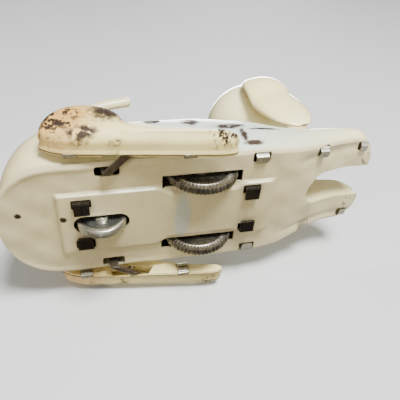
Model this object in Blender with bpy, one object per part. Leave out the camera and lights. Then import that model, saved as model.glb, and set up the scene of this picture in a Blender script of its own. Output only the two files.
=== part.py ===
"""Clockwork tin puppy: lithographed-tin body on three wheels, swinging hind legs, celluloid head.

Lengths below are in millimetres and are scaled to metres when a mesh is made.
The toy stands on its wheels on z = 0, faces -Y, and its left side is +X.
"""
import bpy
import bmesh
import math
from mathutils import Matrix, Vector

for old in list(bpy.data.objects):
    bpy.data.objects.remove(old, do_unlink=True)

MM = 0.001

# body
BODY_REAR = 64.2
BODY_FRONT = 64.5
BODY_HALF = 22.0
BODY_BULGE = 24.2
BODY_TOP = 33.5
BELLY_Z = 8.0
TIN = 0.7
GAP = 0.3

# running gear
DRIVE_R = 12.0
DRIVE_T = 2.4
DRIVE_X = 13.4
REAR_R = 8.0
REAR_T = 3.0
REAR_Y = 33.0
AXLE_R = 0.9

# clockwork
PLATE_X = 9.0
PLATE_T = 0.8
MODULE = 0.4
GREAT_N = 54
PINION_N = 12
SECOND_N = 48
KEY_Y = 14.0
KEY_Z = 28.5

# legs
LEG_IN = 26.0
LEG_OUT = 33.6
LEG_REAR = 48.5
LEG_TOE = -8.5
HAUNCH_Y = 36.5
HAUNCH_Z = 13.8
HAUNCH_R = 12.0

# head
HEAD_C = Vector((0.0, -33.0, 57.0))
HEAD_R = 18.8
HEAD_T = 1.0


def mesh_object(name, verts, faces):
    mesh = bpy.data.meshes.new(name)
    mesh.from_pydata([tuple(Vector(v) * MM) for v in verts], [], faces)
    mesh.validate()
    bm = bmesh.new()
    bm.from_mesh(mesh)
    bmesh.ops.recalc_face_normals(bm, faces=bm.faces[:])
    bm.to_mesh(mesh)
    bm.free()
    obj = bpy.data.objects.new(name, mesh)
    bpy.context.scene.collection.objects.link(obj)
    return obj


def loft(name, rings, caps=True):
    """Skin a list of equal-length closed rings."""
    n = len(rings[0])
    verts = [p for ring in rings for p in ring]
    faces = []
    for i in range(len(rings) - 1):
        for j in range(n):
            a = i * n + j
            b = i * n + (j + 1) % n
            faces.append((a, b, b + n, a + n))
    if caps:
        faces.append(tuple(range(n)))
        faces.append(tuple((len(rings) - 1) * n + j for j in range(n)))
    return mesh_object(name, verts, faces)


def apply_modifiers(obj):
    graph = bpy.context.evaluated_depsgraph_get()
    mesh = bpy.data.meshes.new_from_object(obj.evaluated_get(graph))
    obj.modifiers.clear()
    obj.data = mesh
    return obj


def boolean(obj, tool, operation="DIFFERENCE"):
    mod = obj.modifiers.new("cut", "BOOLEAN")
    mod.operation = operation
    mod.solver = "EXACT"
    mod.object = tool
    apply_modifiers(obj)
    bpy.data.objects.remove(tool, do_unlink=True)
    return obj


def union(obj, *others):
    for other in others:
        boolean(obj, other, "UNION")
    return obj


def cut(obj, *others):
    for other in others:
        boolean(obj, other, "DIFFERENCE")
    return obj


def prism_z(name, outline, z0, z1):
    return loft(name, [[(x, y, z0) for x, y in outline], [(x, y, z1) for x, y in outline]])


def prism_x(name, outline, x0, x1):
    """Outline of (y, z) points extruded along x."""
    return loft(name, [[(x0, y, z) for y, z in outline], [(x1, y, z) for y, z in outline]])


def box(name, lo, hi):
    outline = [(lo[0], lo[1]), (hi[0], lo[1]), (hi[0], hi[1]), (lo[0], hi[1])]
    return prism_z(name, outline, lo[2], hi[2])


def circle(cy, cz, r, n=24, start=0.0):
    return [(cy + r * math.cos(start + math.tau * i / n), cz + r * math.sin(start + math.tau * i / n)) for i in range(n)]


def disc(name, cy, cz, r, x0, x1, n=24):
    return prism_x(name, circle(cy, cz, r, n), x0, x1)


def rounded(w, d, r, n=5, cx=0.0, cy=0.0):
    """Rounded rectangle of size w by d."""
    pts = []
    for k, (sx, sy) in enumerate([(1, 1), (-1, 1), (-1, -1), (1, -1)]):
        for i in range(n + 1):
            a = math.pi / 2 * (k + i / n)
            pts.append((cx + sx * (w / 2 - r) + r * math.cos(a), cy + sy * (d / 2 - r) + r * math.sin(a)))
    return pts


def smooth(a, b, t):
    t = min(1.0, max(0.0, (t - a) / (b - a)))
    return t * t * (3 - 2 * t)


def mirror_x(obj, name):
    mesh = obj.data.copy()
    mesh.transform(Matrix.Scale(-1, 4, Vector((1, 0, 0))))
    mesh.flip_normals()
    other = bpy.data.objects.new(name, mesh)
    bpy.context.scene.collection.objects.link(other)
    return other


# ---------------------------------------------------------------- body form
def plan_half(y):
    """Half width of the belly outline at station y."""
    rear_from = 45.0
    w = BODY_HALF
    if y > rear_from:
        u = min(1.0, (y - rear_from) / (BODY_REAR - rear_from))
        w *= math.sqrt(max(0.0, 1 - u ** 2.4))
    if y < -16:
        w -= 3.9 * smooth(-16, -56, y)
    if y < -57:
        u = min(1.0, (-57 - y) / (BODY_FRONT - 57))
        w -= 8.6 * (1 - math.sqrt(max(0.0, 1 - u ** 2.2)))
    return w


def belly_z(y):
    return BELLY_Z + 8.2 * smooth(-24, -57, y)


def back_height(y):
    """Height of the back above the belly at station y."""
    h = BODY_TOP
    h -= 3.0 * smooth(0, -12, y)
    h -= 15.5 * smooth(-8, -46, y)
    h -= 5.0 * smooth(-42, -58, y)
    if y > 30:
        u = min(1.0, (y - 30) / (BODY_REAR + 1.2 - 30))
        h *= math.sqrt(max(0.0, 1 - u ** 2.6))
    if y < -57:
        u = min(1.0, (-57 - y) / (BODY_FRONT + 0.5 - 57))
        h *= math.sqrt(max(0.0, 1 - u ** 2.4))
    return h


def body_ring(y, inset, drop, n=11):
    """One closed cross-section: seam to seam over the back, then straight across the belly."""
    w0 = max(0.4, plan_half(y) - inset)
    bulge = (BODY_BULGE - BODY_HALF) * plan_half(y) / BODY_HALF
    w1 = max(0.5, w0 + bulge)
    h = max(0.8, back_height(y) - inset)
    mid = h * 0.33
    z0 = belly_z(y)
    left = []
    for i in range(5):
        u = i / 5
        left.append((w0 + (w1 - w0) * math.sin(math.pi / 2 * u), z0 + mid * u))
    for i in range(n + 1):
        a = math.pi / 2 * i / n
        left.append((w1 * math.cos(a) ** 0.88, z0 + mid + (h - mid) * math.sin(a) ** 0.9))
    ring = [(x, z) for x, z in left]
    ring += [(-x, z) for x, z in reversed(left[:-1])]
    if drop > 0:
        ring = [(w0, z0 - drop)] + ring + [(-w0, z0 - drop)]
    return [(x, y, z) for x, z in ring]


def stations(rear, front):
    ys = [rear - 0.35, rear - 1.3, rear - 3.2, rear - 6, rear - 10, rear - 15, rear - 21]
    ys += [33, 18, 0, -10, -18, -25, -32, -39, -45, -51, -57]
    ys += [front + 4.4, front + 2.4, front + 1.0, front + 0.25]
    return ys


def notch_outline(grow):
    """The U between the forepaws, open to the front."""
    pts = []
    r = 7.3 - grow
    cy = -46.4
    for i in range(13):
        a = math.pi * i / 12
        pts.append((r * math.cos(a) * -1, cy + r * math.sin(a)))
    return [(x, y) for x, y in [(-r, -75)] + pts + [(r, -75)]]


def body_solid(name, inset, drop, grow):
    rings = [body_ring(y, inset, drop) for y in stations(BODY_REAR - inset, -BODY_FRONT + inset)]
    solid = loft(name, rings)
    return cut(solid, prism_z("notch", notch_outline(grow), -5, 60))


def slot_z(y):
    return belly_z(y)


# ---------------------------------------------------------------- back shell
back = body_solid("back_shell", 0.0, 0.0, 0.0)
back = cut(back, body_solid("hollow", TIN, 3.0, -TIN))

# key hole on the right side, leg stud holes on both sides
back = cut(back, disc("hole", KEY_Y, KEY_Z, 2.9, -40, -15, 20))
for side in (1, -1):
    back = cut(back, disc("stud_hole", HAUNCH_Y, HAUNCH_Z, 1.5, side * 15, side * 40, 14))

# neck hole and tail hole
back = cut(back, prism_z("neck_hole", circle(0, HEAD_C.y + 3.0, 3.5, 20), 24, 50))
back = cut(back, prism_z("tail_hole", circle(0, 47.0, 1.9, 16), 22, 50))

# folded tabs of the shell: a root down through the belly plate and a flap turned inward under it
PLATE_DROP = 0.15
PLATE_T2 = 0.8
TAB_SITES = [(-18.3, 4.2), (-42.5, 3.2), (-60.0, 2.4)]


def flap_bottom(y, w):
    return belly_z(y + w / 2) - PLATE_DROP - PLATE_T2 - 0.75


def tab_root(side, y, w, grow):
    edge = plan_half(y)
    z0 = belly_z(y)
    x0 = edge - 0.75 - grow
    x1 = edge - 0.1 + grow
    lo = (min(side * x0, side * x1), y - w / 2 - grow, flap_bottom(y, w))
    hi = (max(side * x0, side * x1), y + w / 2 + grow, z0 + 1.0)
    return box("root", lo, hi)


def tab_flap(side, y, w):
    edge = plan_half(y)
    z0 = flap_bottom(y, w)
    x0 = edge - 4.4
    x1 = edge - 0.1
    lo = (min(side * x0, side * x1), y - w / 2, z0)
    hi = (max(side * x0, side * x1), y + w / 2, z0 + 0.5)
    return box("flap", lo, hi)


for side in (1, -1):
    for y, w in TAB_SITES:
        back = union(back, tab_root(side, y, w, 0.0), tab_flap(side, y, w))


# ---------------------------------------------------------------- belly plate
def plate_ring(y):
    w = max(0.5, plan_half(y))
    z = belly_z(y) - PLATE_DROP
    pts = [(w + 0.5, z), (w + 0.5, z - 0.35), (w + 0.1, z - 0.7), (w - 0.5, z - PLATE_T2)]
    ring = pts + [(-x, zz) for x, zz in reversed(pts)]
    return [(x, y, zz) for x, zz in ring]


PANEL = [
    (12.3, 46.2),
    (12.3, 14.6),
    (9.6, 9.8),
    (9.6, -10.4),
    (11.4, -13.2),
    (11.4, -24.0),
]
WHEEL_SLOTS = (-12.6, 13.6)


def panel_outline(inset):
    right = [(x - inset, y - math.copysign(inset, y) * (abs(y) > 20)) for x, y in PANEL]
    return right + [(-x, y) for x, y in reversed(right)]


belly = loft("belly_plate", [plate_ring(y) for y in stations(BODY_REAR + 0.5, -BODY_FRONT - 0.4)])
low = BELLY_Z - PLATE_DROP - PLATE_T2
belly = union(belly, prism_z("panel", panel_outline(0), low - 1.2, low + 0.4))
belly = cut(belly, prism_z("recess", panel_outline(0.8), low - 0.5, low + 3))
belly = cut(belly, prism_z("notch", notch_outline(0.35), -5, 60))
for side in (1, -1):
    slot = [(11.3, WHEEL_SLOTS[0]), (11.3, WHEEL_SLOTS[1]), (15.7, WHEEL_SLOTS[1]), (15.7, WHEEL_SLOTS[0])]
    belly = cut(belly, prism_z("wheel_slot", [(side * x, y) for x, y in slot], 0, 12))
    arm_gap = [(side * x, y) for x, y in rounded(3.6, 7.4, 0.8, 3, 19.3, 30.2)]
    belly = cut(belly, prism_z("arm_slot", arm_gap, 0, 12))
    for y, w in TAB_SITES:
        belly = cut(belly, tab_root(side, y, w, 0.3))
    for y in (38.7, -16.2):
        belly = cut(belly, box("tab_slot", (side * 9.4 - 0.75, y - 2.9, 0), (side * 9.4 + 0.75, y + 2.9, 12)))
belly = cut(belly, prism_z("rear_slot", rounded(6.6, 17.4, 3.2, 6, 0.0, REAR_Y), 0, 12))


# ---------------------------------------------------------------- hind legs
def leg_top(y):
    ramp = 2.0 * math.log(1 + math.exp((y - 1.0) / 2.0))
    foot = 5.4 + 0.34 * min(ramp, 24)
    reach = (y - HAUNCH_Y) / HAUNCH_R
    haunch = HAUNCH_Z + HAUNCH_R * math.sqrt(max(0.0, 1 - reach * reach)) if abs(reach) < 1 else 0
    k = 2.0
    return k * math.log(math.exp(foot / k) + math.exp(haunch / k))


def leg_bottom(y):
    return 7.2 - 0.13 * (44 - y)


def leg_outline(inset, n=30):
    """Side view of a hind leg as (y, z) points, walked round once."""
    rear = LEG_REAR - inset
    toe = LEG_TOE + inset
    mid_y = (rear + toe) / 2
    half = (rear - toe) / 2
    upper = []
    lower = []
    for i in range(n + 1):
        c = math.cos(math.pi * i / n)
        y = mid_y + half * c
        end = (1 - abs(c) ** 9) ** 0.5
        top = leg_top(y) - inset
        bottom = leg_bottom(y) + inset
        centre = (top + bottom) / 2
        upper.append((y, centre + (top - centre) * end))
        lower.append((y, centre + (bottom - centre) * end))
    return upper[:-1] + list(reversed(lower))[:-1]


def leg_solid(name, steps, n=30):
    return loft(name, [[(x, y, z) for y, z in leg_outline(inset, n)] for x, inset in steps])


LEG_TABS = [(40.0, "low"), (6.0, "low"), (6.0, "high"), (33.0, "high")]


def leg_tab(y, where, grow, flap):
    z = leg_bottom(y) if where == "low" else leg_top(y)
    s = 1 if where == "low" else -1
    z0 = z + s * (0.15 - grow)
    z1 = z + s * (1.5 + grow)
    root = box("root", (LEG_IN - 1.5, y - 2.0 - grow, min(z0, z1)), (LEG_IN + 1.5, y + 2.0 + grow, max(z0, z1)))
    if not flap:
        return root
    zf = z + s * 2.6
    lo = (LEG_IN - 1.5, y - 2.0, min(z0, zf))
    return union(root, box("flap", lo, (LEG_IN - 1.05, y + 2.0, max(z0, zf))))


# right and left legs are mirror images; the left one is built first
shell = leg_solid("leg_outer", [(LEG_IN + 0.2, 0.0), (30.2, 0.15), (32.0, 0.6), (33.1, 1.2), (LEG_OUT, 1.9)])
hollow = leg_solid("hollow", [(LEG_IN - 2, 0.65), (30.0, 0.8), (31.6, 1.15), (32.9, 1.75)], 20)
shell = cut(shell, hollow)
for y, where in LEG_TABS:
    shell = union(shell, leg_tab(y, where, 0.0, True))
shell.name = "left_leg_outer"
mirror_x(shell, "right_leg_outer")

plate = leg_solid("left_leg_inner", [(LEG_IN - 0.75, 0.25), (LEG_IN - 0.1, 0.0)], 30)
opening = [(31.0, 5.2), (18.5, 4.4), (16.5, 7.4), (24.0, 9.6), (31.5, 7.6)]
plate = cut(plate, prism_x("arm_way", opening, 20, 30))
plate = cut(plate, disc("stud_hole", HAUNCH_Y, HAUNCH_Z, 1.5, 20, 30, 16))
for y, where in LEG_TABS:
    plate = cut(plate, leg_tab(y, where, 0.12, False))
mirror_x(plate, "right_leg_inner")

pivot = disc("left_leg_pivot", HAUNCH_Y, HAUNCH_Z, 1.2, 21.6, 27.6, 16)
pivot = union(pivot, disc("h1", HAUNCH_Y, HAUNCH_Z, 2.4, 21.1, 21.9, 16), disc("h2", HAUNCH_Y, HAUNCH_Z, 2.4, 26.8, 27.6, 16))
mirror_x(pivot, "right_leg_pivot")


def strip(name, a, b, wide, thick):
    """Flat bar from a to b, its width along y."""
    a = Vector(a)
    b = Vector(b)
    along = (b - a).normalized()
    across = Vector((0, 1, 0)) * (wide / 2)
    normal = along.cross(Vector((0, 1, 0))).normalized() * (thick / 2)
    rings = []
    for p in (a, b):
        rings.append([p + across + normal, p - across + normal, p - across - normal, p + across - normal])
    return loft(name, rings)


ARM_X = 10.8
arm = strip("left_drive_arm", (28.6, 20.2, 6.3), (20.2, 30.1, 4.9), 3.0, 0.8)
arm = union(arm, strip("s2", (20.2, 30.1, 4.6), (19.7, 30.6, 9.9), 3.0, 0.8))
arm = union(arm, box("s3", (ARM_X - 0.4, 29.0, 9.4), (20.1, 32.0, 10.2)))
arm = union(arm, box("s4", (ARM_X - 0.4, 4.4, 9.4), (ARM_X + 0.4, 32.0, 12.6)))
mirror_x(arm, "right_drive_arm")


# ---------------------------------------------------------------- clockwork
def gear_outline(cy, cz, teeth, phase, module=MODULE, shrink=0.0):
    r = module * teeth / 2
    tip = r + 0.62 * module - shrink
    root = r - 0.95 * module
    pts = []
    for i in range(teeth):
        for frac, rad in ((-0.27, root), (-0.13, tip), (0.13, tip), (0.27, root)):
            a = phase + math.tau * (i + frac) / teeth
            pts.append((cy + rad * math.cos(a), cz + rad * math.sin(a)))
    return pts


def gear(name, cy, cz, teeth, x0, x1, bore, phase):
    wheel = prism_x(name, gear_outline(cy, cz, teeth, phase), x0, x1)
    return cut(wheel, disc("bore", cy, cz, bore, x0 - 1, x1 + 1, 16))


def lightening(wheel, cy, cz, ring, r, count, x0, x1, turn=0.3):
    for i in range(count):
        a = turn + math.tau * i / count
        wheel = cut(wheel, disc("hole", cy + ring * math.cos(a), cz + ring * math.sin(a), r, x0 - 1, x1 + 1, 12))
    return wheel


KEY = (KEY_Y, KEY_Z)
DRIVE = (0.0, DRIVE_R)
REAR = (REAR_Y, REAR_R)


def third_corner(a, b, ra, rb):
    """Point at distance ra from a and rb from b, on the upper front side."""
    dy = b[0] - a[0]
    dz = b[1] - a[1]
    d = math.hypot(dy, dz)
    along = (d * d + ra * ra - rb * rb) / (2 * d)
    up = math.sqrt(ra * ra - along * along)
    return (a[0] + along * dy / d + up * dz / d, a[1] + along * dz / d - up * dy / d)


SECOND = third_corner(KEY, DRIVE, MODULE * (GREAT_N + PINION_N) / 2, MODULE * (SECOND_N + PINION_N) / 2)
GOVERNOR_N = 10
GOVERNOR_D = MODULE * (SECOND_N + GOVERNOR_N) / 2
GOVERNOR = (SECOND[0] - GOVERNOR_D * math.cos(math.radians(20)), SECOND[1] + GOVERNOR_D * math.sin(math.radians(20)))
ANCHOR = (GOVERNOR[0] - 5.4, GOVERNOR[1] - 4.6)
PILLARS = [(28.6, 30.2), (-13.6, 15.4), (22.2, 12.6)]


def mesh_phase(a, b, phase_a, teeth_a, teeth_b):
    """Phase of gear b so that one of its gaps faces a tooth of gear a on the line of centres."""
    line = math.atan2(b[1] - a[1], b[0] - a[0])
    offset = ((line - phase_a) / math.tau * teeth_a) % 1.0
    return line + math.pi + math.tau / teeth_b * (0.5 + offset)


great_phase = 0.0
pinion2_phase = mesh_phase(KEY, SECOND, great_phase, GREAT_N, PINION_N)
second_phase = 0.07
drive_phase = mesh_phase(SECOND, DRIVE, second_phase, SECOND_N, PINION_N)
governor_phase = mesh_phase(SECOND, GOVERNOR, second_phase, SECOND_N, GOVERNOR_N)

great = gear("great_wheel", *KEY, GREAT_N, 3.6, 4.4, 1.75, great_phase)
lightening(great, *KEY, 7.0, 1.8, 5, 3.6, 4.4)
pinion2 = gear("second_pinion", *SECOND, PINION_N, 2.9, 5.1, 0.85, pinion2_phase)
second = gear("second_wheel", *SECOND, SECOND_N, 0.3, 1.0, 0.85, second_phase)
lightening(second, *SECOND, 5.6, 1.7, 4, 0.3, 1.0)
drive_pinion = gear("drive_pinion", *DRIVE, PINION_N, -0.4, 1.7, 0.95, drive_phase)
governor = gear("governor_pinion", *GOVERNOR, GOVERNOR_N, -0.3, 1.6, 0.65, governor_phase)

disc("second_arbor", *SECOND, 0.78, -10.2, 10.2, 14)
disc("governor_arbor", *GOVERNOR, 0.58, -10.2, 10.2, 12)
disc("drive_axle", *DRIVE, AXLE_R - 0.02, -15.6, 15.6, 18)
disc("rear_axle", *REAR, 0.85, -10.3, 10.3, 16)

arbor = disc("winding_arbor", *KEY, 1.3, -12.0, 10.2, 16)
arbor = union(arbor, box("square", (-21.2, KEY_Y - 1.05, KEY_Z - 1.05), (-11.5, KEY_Y + 1.05, KEY_Z + 1.05)))


def saw_outline(cy, cz, teeth, tip, root):
    pts = []
    for i in range(teeth):
        a = math.tau * i / teeth
        pts.append((cy + tip * math.cos(a), cz + tip * math.sin(a)))
        b = a + math.tau / teeth * 0.92
        pts.append((cy + root * math.cos(b), cz + root * math.sin(b)))
    return pts


ratchet = prism_x("ratchet_wheel", saw_outline(*KEY, 12, 4.0, 3.1), 5.2, 6.0)
cut(ratchet, disc("bore", *KEY, 1.38, 4, 7, 16))

click_shape = [(21.4, 33.0), (20.2, 33.9), (17.9, 31.6), (17.55, 30.6), (18.6, 31.0), (21.0, 31.8)]
click = prism_x("click", click_shape, 5.2, 6.0)
union(click, disc("rivet", 20.6, 32.9, 0.9, 4.5, 6.4, 12))

# mainspring: flat strip wound round the arbor, outer end led to the upper rear pillar
strip_rings = []
turns = 4.25
count = 62
for i in range(count + 2):
    t = min(1.0, i / count)
    a = math.tau * turns * t + 0.35
    r = 2.6 + 6.7 * t
    centre = Vector((0, KEY_Y + r * math.cos(a), KEY_Z + r * math.sin(a)))
    out = Vector((0, math.cos(a), math.sin(a)))
    if i > count:
        centre = Vector((0, PILLARS[0][0] - 1.5, PILLARS[0][1] - 0.4))
        out = Vector((0, -0.3, 0.95))
    lo = Vector((-7.6, 0, 0))
    hi = Vector((-1.6, 0, 0))
    strip_rings.append([centre + lo - out * 0.18, centre + hi - out * 0.18, centre + hi + out * 0.18, centre + lo + out * 0.18])
loft("mainspring", strip_rings)

# pillars and side plates
for i, (py, pz) in enumerate(PILLARS):
    pillar = disc("frame_pillar_%d" % (i + 1), py, pz, 1.1, -8.9, 8.9, 14)
    union(pillar, disc("ends", py, pz, 0.7, -10.2, 10.2, 14))

PLATE_SHAPE = [
    (41.4, 8.7),
    (41.4, 14.0),
    (33.0, 31.0),
    (25.0, 36.0),
    (4.0, 36.0),
    (-9.0, 33.2),
    (-18.0, 26.6),
    (-18.9, 8.7),
    (-18.7, 4.4),
    (-13.7, 4.4),
    (-13.7, 8.7),
    (36.2, 8.7),
    (36.2, 4.4),
    (41.2, 4.4),
]
HOLES = [(KEY, 1.42), (SECOND, 0.9), (GOVERNOR, 0.7), (DRIVE, 1.02), (REAR, 0.97), (ANCHOR, 0.72)]
frame_plate = prism_x("left_frame_plate", PLATE_SHAPE, PLATE_X, PLATE_X + PLATE_T)
for (hy, hz), r in HOLES + [(p, 0.8) for p in PILLARS]:
    frame_plate = cut(frame_plate, disc("hole", hy, hz, r, 5, 15, 14))
frame_plate = cut(frame_plate, prism_x("window", [(y, z) for y, z in rounded(9, 7, 2, 4, 12.0, 14.5)], 5, 15))
for y in (38.7, -16.2):
    frame_plate = union(frame_plate, box("fold", (PLATE_X - 4.0, y - 2.4, 4.3), (PLATE_X + PLATE_T / 2, y + 2.4, 5.0)))
mirror_x(frame_plate, "right_frame_plate")

# cams, drive wheels
for side, tag in ((1, "left"), (-1, "right")):
    x0, x1 = sorted((side * 10.3, side * 11.3))
    cam = prism_x(tag + "_cam", circle(1.0, DRIVE_R, 2.7, 24), x0, x1)
    cut(cam, disc("bore", *DRIVE, 0.95, x0 - 1, x1 + 1, 16))
    inner = DRIVE_X - DRIVE_T / 2
    outer = DRIVE_X + DRIVE_T / 2
    rim = []
    teeth = 54
    for i in range(teeth * 2):
        r = DRIVE_R if i % 2 else DRIVE_R - 0.4
        a = math.tau * i / (teeth * 2)
        rim.append((r * math.cos(a), DRIVE_R + r * math.sin(a)))
    x0, x1 = sorted((side * inner, side * outer))
    wheel = prism_x(tag + "_drive_wheel", rim, x0, x1)
    for face in (side * (inner - 1), side * (outer - 0.7)):
        a0, a1 = sorted((face, face + side * 1.7))
        ring = disc("dish", *DRIVE, 9.0, a0, a1, 30)
        ring = cut(ring, disc("boss", *DRIVE, 3.0, a0 - 1, a1 + 1, 20))
        wheel = cut(wheel, ring)
    cut(wheel, disc("bore", *DRIVE, 0.95, x0 - 1, x1 + 1, 18))

rear = prism_x("rear_wheel", circle(*REAR, REAR_R, 40), -REAR_T / 2, REAR_T / 2)
for x0, x1 in ((-3.0, -0.8), (0.8, 3.0)):
    ring = disc("dish", *REAR, 6.2, x0, x1, 24)
    rear = cut(rear, cut(ring, disc("boss", *REAR, 2.2, x0 - 1, x1 + 1, 16)))
cut(rear, disc("bore", *REAR, 1.1, -3, 3, 16))

# star wheel and rocking anchor
star = prism_x("star_wheel", saw_outline(*GOVERNOR, 8, 3.2, 2.0), -3.6, -2.9)
cut(star, disc("bore", *GOVERNOR, 0.65, -5, 0, 12))
ay, az = ANCHOR
anchor_shape = [(ay - 1.4, az - 1.2), (ay + 4.6, az - 1.8), (ay + 5.0, az - 0.6), (ay + 1.3, az + 0.6), (ay + 0.9, az + 1.6)]
anchor_shape += [(ay - 0.1, az + 6.4), (ay - 1.4, az + 6.3)]
anchor = prism_x("anchor", anchor_shape, -3.7, -2.8)
union(anchor, disc("staff", *ANCHOR, 0.6, -10.2, 10.2, 12))


# ---------------------------------------------------------------- head, ears, neck, tail
def ball(name, centre, radii, nu=28, nv=16):
    verts = []
    rings = []
    for i in range(nv + 1):
        p = math.pi * (i + 0.0) / nv
        p = min(max(p, 0.06), math.pi - 0.06)
        ring = []
        for j in range(nu):
            a = math.tau * j / nu
            ring.append((centre[0] + radii[0] * math.sin(p) * math.cos(a), centre[1] + radii[1] * math.sin(p) * math.sin(a), centre[2] + radii[2] * math.cos(p)))
        rings.append(ring)
    return loft(name, rings)


MUZZLE = Vector((0.0, HEAD_C.y - 13.0, HEAD_C.z - 6.5))
NECK_Y = HEAD_C.y + 3.0
head = union(ball("head_shell", HEAD_C, (HEAD_R,) * 3, 28, 16), ball("muzzle", MUZZLE, (8.6, 11.0, 7.6), 18, 10))
hollow = union(ball("h", HEAD_C, (HEAD_R - HEAD_T - 0.4,) * 3, 18, 10), ball("m", MUZZLE, (7.2, 9.4, 6.2), 12, 8))
head = cut(head, hollow)
head = cut(head, prism_z("neck_way", circle(0, NECK_Y, 3.5, 20), 30, 45))


def ear(name, side):
    root = Vector((side * 18.5, -31.0, 62.0))
    tip = Vector((side * 19.5, -40.5, 25.0))
    along = tip - root
    wide = Vector((0, along.z, -along.y)).normalized()
    thick = along.cross(wide).normalized()
    rings = []
    for i in range(15):
        t = min(max(i / 14, 0.012), 0.988)
        girth = math.sqrt(1 - abs(2 * t - 1) ** 2.3)
        half = (8.6 + 1.2 * t) * girth
        depth = (2.3 + 1.3 * math.sin(math.pi * t ** 0.8)) * girth
        c = root + along * t
        off = c - HEAD_C
        reach = (HEAD_R + depth + 0.35) ** 2 - off.y ** 2 - off.z ** 2
        c.x = side * max(abs(c.x), math.sqrt(max(0.0, reach)))
        rings.append([c + wide * half * math.cos(math.tau * j / 24) + thick * depth * math.sin(math.tau * j / 24) for j in range(24)])
    return loft(name, rings)


ear("right_ear", -1)
ear("left_ear", 1)

top = belly_z(NECK_Y) + back_height(NECK_Y)
stem = prism_z("neck_stem", circle(0, NECK_Y, 3.0, 20), top - 3.0, 43.0)
stem = union(stem, prism_z("low", circle(0, NECK_Y, 5.0, 20), top - 4.2, top - 3.0))
stem = union(stem, prism_z("high", circle(0, NECK_Y, 5.0, 20), 42.0, 43.2))
cup_steps = ((top + 3.4, 4.6), (top + 5.0, 6.0), (37.3, 6.9))
cup = loft("neck_cup", [[(x, y, z) for x, y in circle(0, NECK_Y, r, 28)] for z, r in cup_steps])
cut(cup, prism_z("bore", circle(0, NECK_Y, 3.3, 20), 20, 60))

path = [(0, 47.0, 34.5), (0, 47.0, 39.8), (0, 47.0, 40.4), (-0.5, 47.0, 48.5), (-2.4, 45.2, 55.5), (-4.6, 41.5, 61.5), (-6.6, 35.5, 65.6), (-8.0, 27.5, 68.2), (-8.2, 18.6, 70.2)]
rings = []
for i, p in enumerate(path):
    a = Vector(path[max(0, i - 1)])
    b = Vector(path[min(len(path) - 1, i + 1)])
    d = (b - a).normalized()
    u = d.cross(Vector((1, 0, 0))).normalized()
    v = d.cross(u).normalized()
    r = 1.6 if i < 2 else 2.6
    rings.append([Vector(p) + u * r * math.cos(math.tau * j / 16) + v * r * math.sin(math.tau * j / 16) for j in range(16)])
end = Vector(path[-1]) + d * 1.6
rings.append([end + u * 1.3 * math.cos(math.tau * j / 16) + v * 1.3 * math.sin(math.tau * j / 16) for j in range(16)])
tail = loft("tail", rings)
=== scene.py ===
import bpy
import bmesh
import math
import numpy as np
from mathutils import Matrix, Vector


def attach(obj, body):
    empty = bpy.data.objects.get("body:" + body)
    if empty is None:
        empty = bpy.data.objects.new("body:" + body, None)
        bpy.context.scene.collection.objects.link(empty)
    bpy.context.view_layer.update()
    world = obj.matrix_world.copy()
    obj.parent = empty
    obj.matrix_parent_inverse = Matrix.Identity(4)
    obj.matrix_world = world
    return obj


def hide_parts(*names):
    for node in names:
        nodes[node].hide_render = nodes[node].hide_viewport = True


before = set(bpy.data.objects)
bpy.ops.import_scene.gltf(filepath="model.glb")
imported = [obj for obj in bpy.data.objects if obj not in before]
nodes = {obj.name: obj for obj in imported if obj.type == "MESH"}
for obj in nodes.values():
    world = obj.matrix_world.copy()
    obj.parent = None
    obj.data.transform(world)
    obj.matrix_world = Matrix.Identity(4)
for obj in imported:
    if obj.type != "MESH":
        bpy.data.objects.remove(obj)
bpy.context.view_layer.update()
scene = bpy.context.scene
milli = 0.001


# form helpers: lengths in millimetres, scaled when a mesh is made

def smooth(a, b, t):
    t = min(1.0, max(0.0, (t - a) / (b - a)))
    return t * t * (3 - 2 * t)


def makeMesh(name, verts, faces):
    mesh = bpy.data.meshes.new(name)
    mesh.from_pydata([(v[0] * milli, v[1] * milli, v[2] * milli) for v in verts], [], faces)
    mesh.validate()
    bm = bmesh.new()
    bm.from_mesh(mesh)
    bmesh.ops.recalc_face_normals(bm, faces=bm.faces[:])
    bm.to_mesh(mesh)
    bm.free()
    mesh.shade_smooth()
    obj = bpy.data.objects.new(name, mesh)
    scene.collection.objects.link(obj)
    return obj


def loft(name, rings):
    n = len(rings[0])
    verts = [p for ring in rings for p in ring]
    faces = []
    for i in range(len(rings) - 1):
        for j in range(n):
            a = i * n + j
            b = i * n + (j + 1) % n
            faces.append((a, b, b + n, a + n))
    faces.append(tuple(range(n)))
    faces.append(tuple((len(rings) - 1) * n + j for j in range(n)))
    return makeMesh(name, verts, faces)


def prismZ(outline, low, high):
    return loft("cutter", [[(x, y, low) for x, y in outline], [(x, y, high) for x, y in outline]])


def prismX(outline, low, high):
    return loft("cutter", [[(low, y, z) for y, z in outline], [(high, y, z) for y, z in outline]])


def circle(cx, cy, r, n=40):
    return [(cx + r * math.cos(math.tau * i / n), cy + r * math.sin(math.tau * i / n)) for i in range(n)]


def rounded(cx, cy, w, d, r, n=6):
    pts = []
    for k, (sx, sy) in enumerate(((1, 1), (-1, 1), (-1, -1), (1, -1))):
        for i in range(n + 1):
            a = math.pi / 2 * (k + i / n)
            pts.append((cx + sx * (w / 2 - r) + r * math.cos(a), cy + sy * (d / 2 - r) + r * math.sin(a)))
    return pts


def bakeModifiers(obj):
    graph = bpy.context.evaluated_depsgraph_get()
    mesh = bpy.data.meshes.new_from_object(obj.evaluated_get(graph))
    obj.modifiers.clear()
    obj.data = mesh
    return obj


def cut(obj, *tools):
    for tool in tools:
        mod = obj.modifiers.new("cut", "BOOLEAN")
        mod.operation = "DIFFERENCE"
        mod.solver = "EXACT"
        mod.object = tool
        bakeModifiers(obj)
        bpy.data.objects.remove(tool, do_unlink=True)
    return obj


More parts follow.
